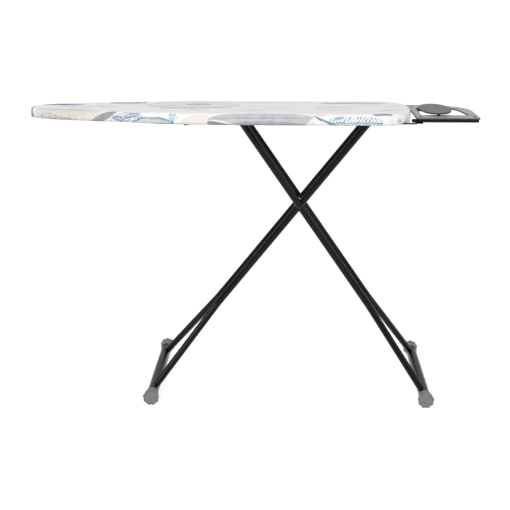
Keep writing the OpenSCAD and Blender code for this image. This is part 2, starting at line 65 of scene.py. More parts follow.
def make_area_light(name, place, target, size, watts):
    data = bpy.data.lights.new(name, "AREA")
    data.shape = "RECTANGLE"
    data.size, data.size_y = size
    data.energy = watts
    light = bpy.data.objects.new(name, data)
    light.location = place
    aim = Vector(target) - Vector(place)
    light.rotation_euler = aim.to_track_quat("-Z", "Y").to_euler()
    bpy.context.scene.collection.objects.link(light)


def make_stage():
    half = 70
    corners = [(-half, -half, 0), (half, -half, 0), (half, half, 0), (-half, half, 0)]
    mesh = bpy.data.meshes.new("floor")
    mesh.from_pydata(corners, [], [(0, 1, 2, 3)])
    floor = bpy.data.objects.new("floor", mesh)
    bpy.context.scene.collection.objects.link(floor)
    paint = bpy.data.materials.new("floor_white")
    paint.use_nodes = True
    shader = paint.node_tree.nodes["Principled BSDF"]
    shader.inputs["Base Color"].default_value = (0.45, 0.45, 0.45, 1)
    shader.inputs["Roughness"].default_value = 1
    shader.inputs["Specular IOR Level"].default_value = 0
    shader.inputs["Emission Color"].default_value = (1, 1, 1, 1)
    shader.inputs["Emission Strength"].default_value = 0.79
    mesh.materials.append(paint)

    world = bpy.data.worlds.new("studio")
    world.use_nodes = True
    sky = world.node_tree.nodes["Background"]
    sky.inputs["Color"].default_value = (1, 1, 1, 1)
    sky.inputs["Strength"].default_value = 0.56
    bpy.context.scene.world = world
    bpy.context.scene.view_settings.view_transform = "Standard"

    middle = (0, 0, 0.6)
    make_area_light("key", (-1.8, -2.6, 3.2), middle, (1.6, 1.2), 54)
    make_area_light("fill", (2.6, -1.6, 2.2), middle, (1.0, 1.8), 16)
    make_area_light("back", (0.4, 3.0, 2.6), middle, (2.4, 0.8), 13)


# ---------- node helpers ----------

def add(tree, kind, inputs=None, **settings):
    """A shader node with its inputs, each a plain value or another node's output."""
    node = tree.nodes.new("ShaderNode" + kind)
    for name, value in settings.items():
        setattr(node, name, value)
    for key, value in (inputs or {}).items():
        if isinstance(value, bpy.types.NodeSocket):
            tree.links.new(value, node.inputs[key])
        else:
            node.inputs[key].default_value = value
    return node


def calc(tree, operation, a, b=0.0, c=0.0):
    node = add(tree, "Math", {0: a, 1: b, 2: c}, operation=operation)
    return node.outputs[0]


def ramp(tree, value, low, high, to_low=0.0, to_high=1.0):
    """A smooth step from to_low to to_high as value goes from low to high."""
    inputs = {"Value": value, "From Min": low, "From Max": high, "To Min": to_low,
              "To Max": to_high}
    return add(tree, "MapRange", inputs, interpolation_type="SMOOTHSTEP").outputs["Result"]


def blend_colour(tree, amount, a, b, mode="MIX"):
    node = add(tree, "Mix", data_type="RGBA", blend_type=mode)
    for socket, value in ((node.inputs[0], amount), (node.inputs[6], a), (node.inputs[7], b)):
        if isinstance(value, bpy.types.NodeSocket):
            tree.links.new(value, socket)
        elif socket.type == "RGBA":
            socket.default_value = (*value, 1)
        else:
            socket.default_value = value
    return node.outputs[2]


def noise(tree, place, scale, detail=3.0, roughness=0.55):
    inputs = {"Vector": place, "Scale": scale, "Detail": detail, "Roughness": roughness}
    return add(tree, "TexNoise", inputs).outputs["Fac"]


def object_place(tree):
    return add(tree, "TexCoord").outputs["Object"]


def cloth_place(tree):
    return add(tree, "Attribute", attribute_name="cloth").outputs["Vector"]


def bump(tree, height, strength, distance):
    inputs = {"Height": height, "Strength": strength, "Distance": distance}
    return add(tree, "Bump", inputs).outputs["Normal"]


def new_material(name, **constants):
    """An empty Principled material, with settings that are the same all over the surface."""
    material = bpy.data.materials.new(name)
    material.use_nodes = True
    tree = material.node_tree
    shader = tree.nodes["Principled BSDF"]
    for key, value in constants.items():
        shader.inputs[key.replace("_", " ")].default_value = value
    return material, tree, shader


def use(tree, shader, colour=None, roughness=None, normal=None):
    """Link the outputs that drive a surface to its shader."""
    links = {"Base Color": colour, "Roughness": roughness, "Normal": normal}
    for key, socket in links.items():
        if socket is not None:
            tree.links.new(socket, shader.inputs[key])


# ---------- plain finishes ----------

def painted_metal(name, colour, dust, rough, grain=0.12, **constants):
    """Paint with orange peel, faint dust and small changes of gloss."""
    material, tree, shader = new_material(name, **constants)
    place = object_place(tree)
    broad = noise(tree, place, 9, 4)
    fine = noise(tree, place, 260, 2)
    cover = ramp(tree, broad, 0.45, 0.75)
    use(tree, shader,
        colour=blend_colour(tree, cover, colour, dust),
        roughness=ramp(tree, broad, 0.3, 0.7, rough, rough + 0.1),
        normal=bump(tree, fine, grain, 0.0004))
    return material


def bare_metal(name, light, dark, rough, stretch=(1, 40, 40)):
    """Plated steel with a drawn grain along X and cloudy plating."""
    material, tree, shader = new_material(name, Metallic=1.0)
    place = object_place(tree)
    drawn = add(tree, "Mapping", {"Vector": place, "Scale": stretch}).outputs["Vector"]
    grain = noise(tree, drawn, 45, 5, 0.7)
    cloud = noise(tree, place, 55, 4)
    use(tree, shader,
        colour=blend_colour(tree, ramp(tree, cloud, 0.35, 0.7), light, dark),
        roughness=ramp(tree, grain, 0.2, 0.8, rough, rough + 0.22),
        normal=bump(tree, grain, 0.15, 0.0003))
    return material


def moulded_plastic(name, colour, rough, grain_scale=900, grain=0.25, **constants):
    """Moulded plastic with a fine spark-eroded grain and slight flow marks."""
    material, tree, shader = new_material(name, **constants)
    place = object_place(tree)
    flow = noise(tree, place, 38, 4)
    fine = noise(tree, place, grain_scale, 2)
    darker = tuple(0.82 * part for part in colour)
    use(tree, shader,
        colour=blend_colour(tree, ramp(tree, flow, 0.3, 0.75), colour, darker),
        roughness=ramp(tree, fine, 0.25, 0.75, rough, rough + 0.12),
        normal=bump(tree, fine, grain, 0.0005))
    return material


def make_foam():
    material, tree, shader = new_material("foam", Roughness=1.0)
    place = object_place(tree)
    cells = add(tree, "TexVoronoi", {"Vector": place, "Scale": 420}).outputs["Distance"]
    fibre = noise(tree, place, 160, 5, 0.7)
    use(tree, shader,
        colour=blend_colour(tree, ramp(tree, fibre, 0.3, 0.7), (0.70, 0.70, 0.67),
                            (0.56, 0.56, 0.54)),
        normal=bump(tree, cells, 0.6, 0.001))
    return material


def make_elastic():
    material, tree, shader = new_material("elastic", Roughness=0.85)
    place = object_place(tree)
    braid = add(tree, "TexWave", {"Vector": place, "Scale": 260, "Distortion": 1.5,
                                  "Detail": 1.0}, wave_type="BANDS",
                bands_direction="DIAGONAL").outputs["Fac"]
    use(tree, shader,
        colour=blend_colour(tree, braid, (0.80, 0.80, 0.77), (0.62, 0.62, 0.60)),
        normal=bump(tree, braid, 0.7, 0.0006))
    return material


# ---------- the printed cotton ----------

IVORY = (0.90, 0.90, 0.885)
INDIGO = (0.115, 0.150, 0.300)
NAVY = (0.030, 0.050, 0.110)
DENIM = (0.215, 0.305, 0.470)
SLATE = (0.270, 0.295, 0.330)
GREY = (0.455, 0.475, 0.505)
DARK_GREY = (0.225, 0.230, 0.245)
TEAL = (0.085, 0.310, 0.420)
SKY = (0.200, 0.540, 0.720)
LILAC = (0.560, 0.560, 0.700)
MINT = (0.760, 0.810, 0.735)
BLUSH = (0.790, 0.750, 0.705)
PALE_BLUE = (0.640, 0.710, 0.800)
LAVENDER = (0.560, 0.590, 0.690)
DEEP_TEAL = (0.012, 0.165, 0.230)
BEIGE = (0.620, 0.585, 0.530)
BROWN = (0.330, 0.300, 0.265)
ROSE = (0.800, 0.620, 0.660)

# How a leaf is drawn: how strong its fill, outline, hatching and light veins are, how
# pointed its ends are, and whether its hatching leans one way (1) or meets in chevrons (0)
STYLES = {
    "solid": (0.95, 0.35, 0.0, 0.9, 0.75, 0),
    "plain": (0.92, 0.30, 0.0, 0.0, 0.75, 0),
    "block": (0.96, 0.20, 0.0, 0.0, 0.20, 0),
    "hatched": (0.16, 0.75, 0.95, 0.0, 0.75, 0),
    "strokes": (0.05, 0.0, 1.0, 0.0, 0.25, 1),
    "outline": (0.20, 0.85, 0.20, 0.3, 0.75, 0),
    "rim": (0.20, 0.90, 0.0, 0.0, 0.6, 0),
    "wash": (0.50, 0.15, 0.0, 0.3, 0.6, 0),
    "pen": (0.04, 0.90, 0.55, 0.0, 0.75, 0),
}

# Leaves on the flat cloth, in millimetres from the frame's origin. Cloth that goes down
# the side band lies outside the board's edge, below Y -150 on the near side. Each has its
# middle x and y, turn in degrees, half length, half width, bow, colour and style.
LEAVES = [
    # nose
    (-655, -34, 66, 44, 20, 0, SLATE, "plain"),
    (-656, -36, 64, 42, 17, 0, NAVY, "hatched"),
    (-570, 46, -2, 82, 16, 1, INDIGO, "plain"),
    (-566, 44, -2, 60, 9, 1, NAVY, "wash"),
    # Painted shade, not print: these beige and blush washes and brown strokes stand for the shade
    # on the near side of the nose and in its gathers.
    (-524, -98, -17, 120, 44, -6, BEIGE, "wash"),
    (-556, -88, -20, 92, 34, -6, BEIGE, "wash"),
    (-490, -112, -14, 80, 26, -4, BEIGE, "wash"),
    (-450, -128, -12, 70, 16, 0, BLUSH, "wash"),
    (-580, -92, -32, 44, 13, 0, BROWN, "pen"),
    (-540, -112, -24, 46, 12, 0, BROWN, "strokes"),
    (-512, -120, -30, 30, 8, 0, BROWN, "pen"),
    (-507, -130, -14, 17, 6, 0, NAVY, "hatched"),
    (-480, 0, 4, 104, 10, 5, SLATE, "wash"),
    # Painted shade: a beige wash for the shade over the nose.
    (-520, -66, 10, 70, 14, -4, BEIGE, "wash"),
    (-370, 96, 4, 56, 34, 4, SLATE, "strokes"),
    (-370, 96, 4, 56, 34, 4, SLATE, "wash"),
    # tail of the nose, near side
    (-424, -126, 16, 52, 11, 2, DARK_GREY, "plain"),
    (-408, -121, 16, 34, 5, 2, SLATE, "wash"),
    (-400, -140, 4, 26, 9, 0, BLUSH, "plain"),
    (-347, -133, -6, 47, 13, 2, DENIM, "hatched"),
    (-374, -135, -22, 18, 8, 0, DENIM, "solid"),
    (-332, -130, 6, 30, 6, 2, DENIM, "solid"),
    (-354, -141, 8, 22, 5, 0, SLATE, "solid"),
    (-276, -156, -6, 60, 13, 2, DEEP_TEAL, "outline"),
    (-276, -156, -6, 61, 14, 2, DEEP_TEAL, "rim"),
    (-262, -148, -12, 34, 3, 2, SLATE, "pen"),
    (-228, -167, -7, 50, 3, 0, DEEP_TEAL, "plain"),
    (-222, -153, 84, 19, 8, 0, SKY, "hatched"),
    (-216, -153, 66, 18, 5, 0, TEAL, "hatched"),
    (-212, -149, 10, 12, 6, 0, PALE_BLUE, "plain"),
    (-150, -164, 4, 52, 19, 0, BLUSH, "plain"),
    # middle
    (-172, 50, 3, 140, 78, 8, PALE_BLUE, "rim"),
    (-172, 50, 3, 140, 79, 8, LAVENDER, "rim"),
    (-236, 26, -3, 50, 4, 0, SLATE, "plain"),
    (-158, 58, 6, 38, 22, 2, INDIGO, "hatched"),
    (-160, -26, 2, 104, 6, 3, SLATE, "block"),
    (-158, -68, 3, 32, 5, 0, SKY, "plain"),
    (-2, -84, 2, 42, 9, 2, SLATE, "wash"),
    (40, 100, -4, 96, 16, 5, LAVENDER, "wash"),
    (60, 14, 8, 96, 16, -6, PALE_BLUE, "outline"),
    (20, -40, 3, 120, 6, -3, LAVENDER, "wash"),
    (34, -172, 0, 152, 28, 0, GREY, "block"),
    (34, -159, 0, 140, 3, 0, SLATE, "wash"),
    # These three dark grey marks are partly the big grey leaf's darker lower half and partly
    # painted shade where the band turns under.
    (40, -183, 0, 152, 16, 2, DARK_GREY, "wash"),
    (40, -190, 0, 152, 14, 2, DARK_GREY, "block"),
    (-88, -178, -14, 34, 12, 0, DARK_GREY, "plain"),
    (-74, -170, -14, 46, 3, 3, IVORY, "plain"),
    (187, -179, 42, 54, 22, 0, IVORY, "block"),
    # tail end
    (216, -169, -22, 42, 4, 0, DEEP_TEAL, "plain"),
    (198, -151, 0, 20, 3, 0, ROSE, "plain"),
    (296, 100, -2, 100, 15, 3, INDIGO, "wash"),
    (250, 102, -2, 60, 8, 2, INDIGO, "plain"),
    (350, 114, -5, 62, 20, 3, LILAC, "wash"),
    (242, -4, 4, 58, 36, 3, MINT, "block"),
    (240, -72, 2, 48, 8, 2, LILAC, "plain"),
    (330, 40, 10, 60, 14, 3, PALE_BLUE, "outline"),
    (402, -60, 4, 36, 9, 3, TEAL, "wash"),
    (372, -147, 5, 30, 5, 0, INDIGO, "plain"),
    (297, -172, 0, 76, 19, 0, TEAL, "strokes"),
    (250, -158, 12, 14, 5, 0, DENIM, "hatched"),
    (300, -182, 0, 66, 2, 0, DEEP_TEAL, "plain"),
    # Painted shade: a small dark hatch for the shade in the gathers at the end corner.
    (430, -150, 30, 9, 7, 0, SLATE, "hatched"),
    (424, 40, 60, 50, 14, 6, PALE_BLUE, "outline"),
    # far side band and edge
    (-430, 152, 24, 60, 17, 4, DENIM, "hatched"),
    (-290, 172, -6, 70, 20, 3, GREY, "solid"),
    (-110, 168, 8, 60, 16, 3, TEAL, "pen"),
    (30, 172, 4, 78, 22, 2, DENIM, "solid"),
    (190, 172, -5, 64, 18, -3, GREY, "solid"),
    (330, 168, 8, 56, 15, 2, TEAL, "hatched"),
]


def make_leaf_group():
    """Node group that says how strongly one leaf colours the cloth at a place."""
    tree = bpy.data.node_groups.new("leaf", "ShaderNodeTree")
    face = tree.interface
    face.new_socket("Place", in_out="INPUT", socket_type="NodeSocketVector")
    numbers = ["Wobble", "Broken", "Wash", "X", "Y", "Turn", "Half Length", "Half Width", "Bow",
               "Fill", "Line", "Hatch", "Vein", "Point", "Lean"]
    for name in numbers:
        face.new_socket(name, in_out="INPUT", socket_type="NodeSocketFloat")
    face.new_socket("Amount", in_out="OUTPUT", socket_type="NodeSocketFloat")
    start = tree.nodes.new("NodeGroupInput").outputs
    end = tree.nodes.new("NodeGroupOutput").inputs

    parts = add(tree, "SeparateXYZ", {0: start["Place"]}).outputs
    dx = calc(tree, "SUBTRACT", parts["X"], start["X"])
    dy = calc(tree, "SUBTRACT", parts["Y"], start["Y"])
    cosine = calc(tree, "COSINE", start["Turn"])
    sine = calc(tree, "SINE", start["Turn"])
    along = calc(tree, "ADD", calc(tree, "MULTIPLY", dx, cosine),
                 calc(tree, "MULTIPLY", dy, sine))
    across = calc(tree, "SUBTRACT", calc(tree, "MULTIPLY", dy, cosine),
                  calc(tree, "MULTIPLY", dx, sine))
    u = calc(tree, "DIVIDE", along, start["Half Length"])
    u_square = calc(tree, "MULTIPLY", u, u)
    bowed = calc(tree, "ADD", calc(tree, "MULTIPLY_ADD", start["Bow"], u_square, across),
                 start["Wobble"])
    off = calc(tree, "ABSOLUTE", bowed)
    w = calc(tree, "DIVIDE", off, start["Half Width"])
    swell = calc(tree, "POWER", calc(tree, "MAXIMUM", calc(tree, "SUBTRACT", 1.0, u_square), 0.0),
                 start["Point"])
    depth = calc(tree, "SUBTRACT", swell, w)
    inside = ramp(tree, depth, 0.0, 0.10)
    line = ramp(tree, calc(tree, "ABSOLUTE", calc(tree, "SUBTRACT", depth, 0.04)), 0.03, 0.13,
                1.0, 0.0)
    in_line = calc(tree, "MULTIPLY", line, ramp(tree, calc(tree, "ABSOLUTE", u), 0.96, 1.04,
                                                1.0, 0.0))

    pitch = 0.0100
    chevron = calc(tree, "MULTIPLY", off, calc(tree, "MULTIPLY_ADD", start["Lean"], -0.75, 0.75))
    leaning = calc(tree, "MULTIPLY", bowed, calc(tree, "MULTIPLY", start["Lean"], -0.7))
    slant = calc(tree, "ADD", chevron, leaning)
    slanted = calc(tree, "DIVIDE", calc(tree, "ADD", along, slant), pitch)
    saw = calc(tree, "FRACT", slanted)
    peak = calc(tree, "ABSOLUTE", calc(tree, "SUBTRACT", saw, 0.5))
    stroke = ramp(tree, peak, 0.16, 0.30, 1.0, 0.0)
    hatch = calc(tree, "MULTIPLY", stroke, start["Broken"])
    midrib = ramp(tree, off, 0.0008, 0.0022, 1.0, 0.0)
    thin = ramp(tree, peak, 0.40, 0.47)
    veins = calc(tree, "MAXIMUM", midrib, calc(tree, "MULTIPLY", thin, 0.28))

    light = calc(tree, "SUBTRACT", 1.0, calc(tree, "MULTIPLY", start["Vein"], veins))
    fill = calc(tree, "MULTIPLY", calc(tree, "MULTIPLY", start["Fill"], inside), light)
    drawn = calc(tree, "MULTIPLY", calc(tree, "MULTIPLY", start["Hatch"], inside),
                 calc(tree, "MAXIMUM", hatch, midrib))
    outline = calc(tree, "MULTIPLY", start["Line"], in_line)
    most = calc(tree, "MAXIMUM", fill, calc(tree, "MAXIMUM", drawn, outline))
    brushed = add(tree, "CombineXYZ", {"X": along, "Y": calc(tree, "MULTIPLY", across, 9.0)})
    bristle = ramp(tree, noise(tree, brushed.outputs[0], 22, 3), 0.3, 0.7, 0.82, 1.0)
    tone = calc(tree, "MULTIPLY", start["Wash"], bristle)
    tree.links.new(calc(tree, "MULTIPLY", most, tone), end["Amount"])
    return tree


def make_print(name, leaf, low, high):
    """White cotton printed with the loose watercolour leaves that lie between low and high, some
    of them washes of painted shade, and darkened by the painted shade kept along the hem and in
    the gathers.
    """
    material, tree, shader = new_material(
        name, Roughness=0.9, Sheen_Weight=0.12, Sheen_Roughness=0.5, Specular_IOR_Level=0.25)
    place = cloth_place(tree)
    wobble = calc(tree, "MULTIPLY", calc(tree, "SUBTRACT", noise(tree, place, 60), 0.5), 0.007)
    broken = ramp(tree, noise(tree, place, 130), 0.38, 0.55)
    wash = ramp(tree, noise(tree, place, 34, 4), 0.3, 0.7, 0.80, 1.0)
    mottle = ramp(tree, noise(tree, place, 14, 4), 0.35, 0.7)
    colour = blend_colour(tree, mottle, IVORY, tuple(0.955 * part for part in IVORY))
    for x, y, turn, half_length, half_width, bow, tint, style in LEAVES:
        reach = half_length + half_width + 10
        if x + reach < low or x - reach > high:
            continue
        node = tree.nodes.new("ShaderNodeGroup")
        node.node_tree = leaf
        shared = {"Place": place, "Wobble": wobble, "Broken": broken, "Wash": wash}
        for key, socket in shared.items():
            tree.links.new(socket, node.inputs[key])
        values = [x * MM, y * MM, math.radians(turn), half_length * MM, half_width * MM,
                  bow * MM, *STYLES[style]]
        for socket, value in zip(list(node.inputs)[len(shared):], values):
            socket.default_value = value
        colour = blend_colour(tree, node.outputs["Amount"], colour, tint)

    # Painted shade: the fold attribute darkens the print towards the bottom of the band and in the
    # creases of the gathers.
    painted_shade = add(tree, "Attribute", attribute_name="fold").outputs["Fac"]
    colour = blend_colour(tree, painted_shade, colour, (0.60, 0.59, 0.57), "MULTIPLY")
    thread = 0.00075
    parts = add(tree, "SeparateXYZ", {0: place}).outputs
    warp = calc(tree, "SINE", calc(tree, "MULTIPLY", parts["X"], TURN / thread))
    weft = calc(tree, "SINE", calc(tree, "MULTIPLY", parts["Y"], TURN / thread))
    weave = calc(tree, "MULTIPLY", warp, weft)
    slub = noise(tree, place, 420, 3, 0.7)
    height = calc(tree, "MULTIPLY_ADD", weave, 0.35, slub)
    use(tree, shader, colour=colour, normal=bump(tree, height, 0.22, 0.0004))
    return material


# ---------- the board's outline ----------

COVER_LOW, COVER_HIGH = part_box("cover")
TOP = COVER_HIGH.z
HALF = COVER_HIGH.y
NOSE_X = COVER_LOW.x
END_X = COVER_HIGH.x
TAPER = 0.600
CORNER = 0.085
END_BOW = 0.005
STEP = 0.003
ROUND = 0.0075
HEM_IN = 0.020


def board_outline():
    """Points along the board's edge, a step apart, and the way out at each one."""
    t = np.linspace(0, 1, 700) ** 2.2
    nose = np.stack([NOSE_X + t * TAPER, HALF * (1 - (1 - t) ** 1.35) ** 0.4], 1)
    corner_x = END_X - END_BOW - CORNER
    side_y = HALF - CORNER
    side = np.array([[x, HALF] for x in np.linspace(NOSE_X + TAPER, corner_x, 60)[1:-1]])
    turn = np.radians(np.linspace(90, 0, 90))
    corner = np.stack([corner_x + CORNER * np.cos(turn), side_y + CORNER * np.sin(turn)], 1)
    k = np.linspace(1, 0, 40)[1:]
    end = np.stack([END_X - END_BOW * k * k, side_y * k], 1)
    far = np.concatenate([nose, side, corner, end])
    near = far[-2:0:-1] * [1, -1]
    loop = np.concatenate([far, near, far[:1]])
    run = np.concatenate([[0], np.cumsum(np.linalg.norm(np.diff(loop, axis=0), axis=1))])
    count = int(run[-1] / STEP)
    at = np.arange(count) * run[-1] / count
    points = np.stack([np.interp(at, run, loop[:, 0]), np.interp(at, run, loop[:, 1])], 1)
    along = np.roll(points, -1, 0) - np.roll(points, 1, 0)
    along /= np.linalg.norm(along, axis=1, keepdims=True)
    out = np.stack([-along[:, 1], along[:, 0]], 1)
    return points, out, at


EDGE, OUT, RUN = board_outline()


def spine(points):
    """The nearest place on the board's middle line, for rings that shrink towards it."""
    low = NOSE_X + 0.13
    high = END_X - 0.14
    return np.stack([np.clip(points[:, 0], low, high), np.zeros(len(points))], 1)


def pinch(run, total, lengths, seed):
    """Irregular folds along the hem, from -1 to 1, that join up round the loop."""
    rng = np.random.default_rng(seed)
    wave = np.zeros(len(run))
    for length in lengths:
        turns = round(total / length)
        drift = 1.6 * np.sin(TURN * run / total * rng.integers(5, 14) + rng.uniform(0, TURN))
        wave += 1 - 2 * np.abs(np.sin(turns / 2 * TURN * run / total + drift
                                      + rng.uniform(0, TURN))) ** 0.8
    return wave / len(lengths)


def new_piece(name, vertices, faces, body, material):
    """A smooth mesh piece that rides on a body and fills a material slot."""
    mesh = bpy.data.meshes.new(name)
    mesh.from_pydata([tuple(map(float, v)) for v in vertices], [], faces)
    mesh.validate()
    mesh.polygons.foreach_set("use_smooth", [True] * len(mesh.polygons))
    mesh.materials.append(material)
    piece = bpy.data.objects.new(name, mesh)
    bpy.context.scene.collection.objects.link(piece)
    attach(piece, body)
    return piece


def ring_faces(rings, count, closed=False):
    """Quads between rings of count points each."""
    pairs = [(r, r + 1) for r in range(rings - 1)]
    if closed:
        pairs.append((rings - 1, 0))
    return [(a * count + i, a * count + (i + 1) % count, b * count + (i + 1) % count,
             b * count + i) for a, b in pairs for i in range(count)]


def merge_close(piece):
    """Join vertices that fall together, and turn every face outwards."""
    work = bmesh.new()
    work.from_mesh(piece.data)
    bmesh.ops.remove_doubles(work, verts=work.verts, dist=SAME_PLACE)
    bmesh.ops.recalc_face_normals(work, faces=work.faces)
    work.to_mesh(piece.data)
    work.free()


# ---------- cover, underlay and elastic ----------

# The print is shared out between materials, one for each stretch of the board, in
# millimetres along X. The first starts past the nose, where the cloth turns under.
PRINT_START = -800
PRINT_ENDS = (-420, -250, -60, 150, 700)
NOSE_DEPTH = 0.0284
EXTRA_DEPTH = 0.0044
# The hem from its inner edge to the fold: share of its width turned in, lift above the
# lowest point, and cloth past the fold
HEM = [(1.00, 0.0022, 0.020), (0.66, 0.0006, 0.013), (0.36, 0.0, 0.007),
       (0.15, 0.0, 0.003), (0.05, 0.0006, 0.001), (0.0, 0.0022, -0.001)]


def bell(x, middle, width):
    return np.exp(-((x - middle) / width) ** 2)


def make_cover():
    """The cotton cover: flat top, rounded edge, gathered side band and turned-in hem, with painted
    shade along the hem and in the creases of the gathers.
    """
    count = len(EDGE)
    total = count * (RUN[1] - RUN[0])
    x = EDGE[:, 0]
    level = np.zeros(count)
    # The side band gets deeper over a short stretch behind the nose
    deep = NOSE_DEPTH + EXTRA_DEPTH * (1 / (1 + np.exp(-(x + 0.33) / 0.06)))
    gather = 0.34 + 0.75 * bell(x, NOSE_X, 0.17) + 0.55 * bell(x, END_X - 0.03, 0.06)
    folds = pinch(RUN, total, (0.0115, 0.0170, 0.0260), 5)
    ripples = pinch(RUN, total, (0.0080, 0.0125), 9)

    outer = [(ROUND * (1 - math.cos(angle)), ROUND * (1 - math.sin(angle)),
              ROUND * (math.pi / 2 - angle)) for angle in np.radians([0, 18, 36, 54, 72, 90])]
    rings = []
    flat = []
    side_length = deep - ROUND
    for part, lift, run_in in HEM:
        inset = part * HEM_IN + 0.0012 * gather * folds * (0.3 + part)
        z = -(deep - lift) + 0.0010 * gather * ripples * part
        rings.append((inset, z))
        flat.append(ROUND * math.pi / 2 + side_length + run_in)
    side_steps = 7
    for k in range(1, side_steps + 1):
        q = 1 - k / side_steps
        sway = 0.0015 * gather * folds * q ** 1.2 + 0.0007 * gather * ripples * q
        belly = 0.0007 * math.sin(math.pi * q)
        rings.append((-sway - belly, -(ROUND + side_length * q)))
        flat.append(ROUND * math.pi / 2 + side_length * q)
    for inset, drop, run in outer[1:]:
        soft = 0.0005 * gather * folds * (1 - inset / ROUND)
        rings.append((inset - soft, -drop + level))
        flat.append(run + level)

    vertices = []
    cloth = []
    fold = []
    rim = EDGE - OUT * ROUND
    for (inset, z), run in zip(rings, flat):
        depth = -np.reshape(z, (-1,)) / deep
        # Painted shade kept in the fold attribute: darker over the lowest part of the band, where
        # it turns under, and in the creases of the gathers.
        shade = np.clip((depth - 0.72) / 0.28, 0, 1) ** 1.5
        crease_shade = np.clip(-folds, 0, 1) * gather * np.clip(depth, 0, 1)
        fold.append(np.clip(0.75 * shade + 0.55 * crease_shade, 0, 1) + level)
        place = EDGE - OUT * np.reshape(inset, (-1, 1))
        vertices.append(np.column_stack([place, TOP + z]))
        laid = rim + OUT * np.reshape(run, (-1, 1))
        cloth.append(np.column_stack([laid, level]))
    middle = spine(EDGE)
    top_rings = 24
    for k in range(1, top_rings + 1):
        q = 1 - k / top_rings
        place = middle + (rim - middle) * q
        across, along = place[:, 1], place[:, 0]
        swell = (0.0004 * np.sin(along * 31 + 2 * np.sin(across * 40))
                 + 0.0003 * np.sin(across * 63 + along * 17))
        fade = min(1.0, 4 * (1 - q))
        vertices.append(np.column_stack([place, TOP + fade * (swell - 0.0002)]))
        cloth.append(np.column_stack([place, level]))
        fold.append(level)
    vertices = np.concatenate(vertices)
    cloth = np.concatenate(cloth)
    faces = ring_faces(len(vertices) // count, count)
    leaf = make_leaf_group()
    starts = (PRINT_START, *PRINT_ENDS[:-1])
    prints = [make_print(f"printed_cotton_{k}", leaf, low, high)
              for k, (low, high) in enumerate(zip(starts, PRINT_ENDS))]
    piece = new_piece("cotton_cover", vertices, faces, "board", prints[0])
    for material in prints[1:]:
        piece.data.materials.append(material)
    layer = piece.data.attributes.new("cloth", "FLOAT_VECTOR", "POINT")
    layer.data.foreach_set("vector", cloth.ravel())
    layer = piece.data.attributes.new("fold", "FLOAT", "POINT")
    layer.data.foreach_set("value", np.concatenate(fold))
    merge_close(piece)
    for face in piece.data.polygons:
        face.material_index = sum(face.center.x > end * MM for end in PRINT_ENDS[:-1])
    thick = piece.modifiers.new("thickness", "SOLIDIFY")
    thick.thickness = 0.0007
    thick.offset = -1
    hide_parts("cover")
    return piece


def make_underlay(material):
    """The felted foam pad under the cotton, with a soft rounded edge."""
    low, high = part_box("foam_pad")
    middle = spine(EDGE)
    profile = [(0.0060, low.z), (0.0022, low.z), (0.0014, low.z + 0.0012),
               (0.0016, high.z - 0.0030), (0.0032, high.z - 0.0012), (0.0072, high.z - 0.0004)]
    vertices = [np.column_stack([middle, np.full(len(EDGE), low.z)])]
    for inset, z in profile:
        vertices.append(np.column_stack([EDGE - OUT * inset, np.full(len(EDGE), z)]))
    for q in (0.75, 0.5, 0.25, 0.0):
        place = middle + (EDGE - OUT * 0.0072 - middle) * q
        vertices.append(np.column_stack([place, np.full(len(EDGE), high.z - 0.0004)]))
    vertices = np.concatenate(vertices)
    faces = ring_faces(len(vertices) // len(EDGE), len(EDGE))
    piece = new_piece("underlay", vertices, faces, "board", material)
    merge_close(piece)
    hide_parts("foam_pad")
    return piece


def make_hem_elastic(material):
    """The elastic cord that runs inside the hem and draws it in."""
    low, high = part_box("hem_elastic")
    radius = 0.0012
    z = (low.z + high.z) / 2
    steps = 8
    inset = 0.0168
    vertices = []
    for k in range(steps):
        angle = TURN * k / steps
        place = EDGE - OUT * (inset + radius * math.cos(angle))
        vertices.append(np.column_stack([place, np.full(len(EDGE), z + radius * math.sin(angle))]))
    faces = ring_faces(steps, len(EDGE), closed=True)
    piece = new_piece("hem_elastic_cord", np.concatenate(vertices), faces, "board",
                      material)
    merge_close(piece)
    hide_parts("hem_elastic")
    return piece


# ---------- foot caps and heat pad ----------

CAP_LOBES = 9
CAP_LOBE_DEPTH = 1.1
# Cap profile from its open collar to its closed end: place along the foot tube from the
# board's middle, radius, and how much of the lobes shows, the first two in millimetres
CAP_PROFILE = [
    (200.6, 16.05, 0), (200.0, 16.6, 0), (200.0, 17.6, 0), (200.5, 18.3, 0), (201.6, 18.6, 0),
    (203.0, 18.5, 0), (204.0, 18.0, 0), (205.0, 17.7, 0), (209.0, 17.7, 0), (216.0, 18.0, 0),
    (221.0, 18.5, 0), (225.0, 19.3, 0), (228.0, 20.2, 0.15), (230.2, 21.4, 0.5),
    (231.2, 22.4, 0.85), (231.9, 23.3, 1), (232.8, 23.9, 1), (234.0, 24.0, 1), (235.4, 24.0, 1),
    (236.5, 23.6, 1), (237.2, 22.7, 1), (237.4, 21.6, 0.9), (237.2, 20.4, 0.6), (236.6, 19.5, 0.2),
    (236.7, 18.8, 0), (237.4, 18.0, 0), (237.9, 16.6, 0), (238.0, 14.0, 0), (238.0, 9.0, 0),
    (237.5, 7.6, 0), (237.4, 4.0, 0), (237.4, 0.0, 0),
]


